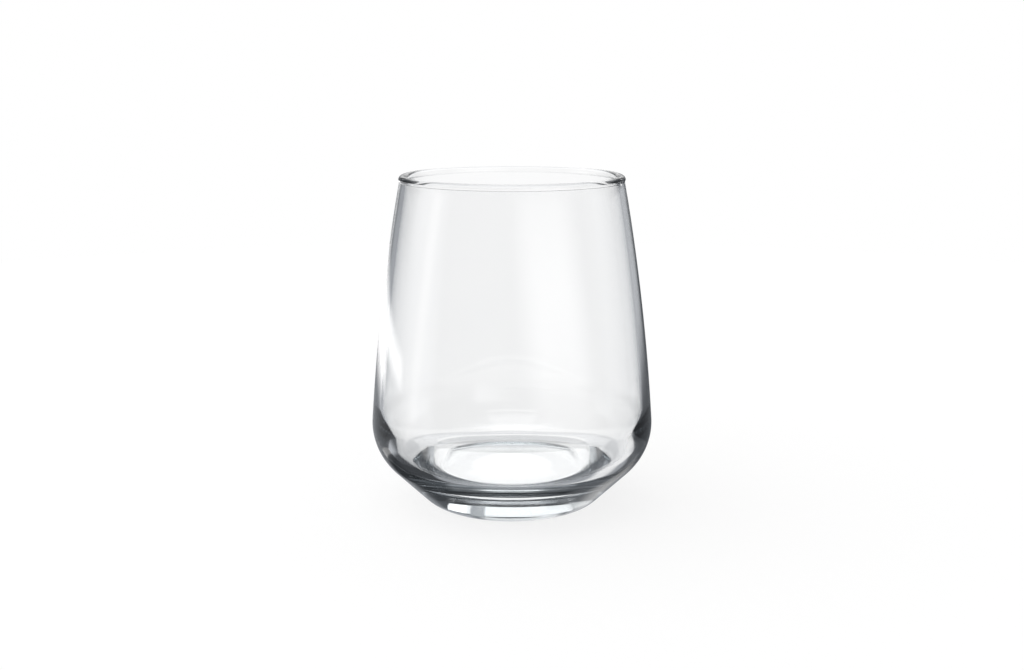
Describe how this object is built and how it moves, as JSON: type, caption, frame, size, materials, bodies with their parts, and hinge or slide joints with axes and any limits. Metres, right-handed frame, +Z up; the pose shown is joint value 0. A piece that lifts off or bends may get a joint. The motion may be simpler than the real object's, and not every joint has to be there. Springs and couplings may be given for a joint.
{
  "type": "stemless wine glass",
  "caption": "Clear stemless wine glass: a wall that leans in to a rounded lip, a tight shoulder, and a heavy solid base that tapers to a small foot.",
  "frame": {"origin": "centre of the foot, on the plane of the table", "axes": "+Z up along the axis of the glass, towards the mouth; the glass is the same all round, so +X and +Y are free"},
  "size_m": [0.085, 0.085, 0.0998],
  "materials": {
    "bowl_glass": "clear, fire-polished",
    "base_glass": "clear, smooth, solid"
  },
  "bodies": {
    "root": {"bowl": "bowl_glass", "base": "base_glass"}
  },
  "joints": []
}
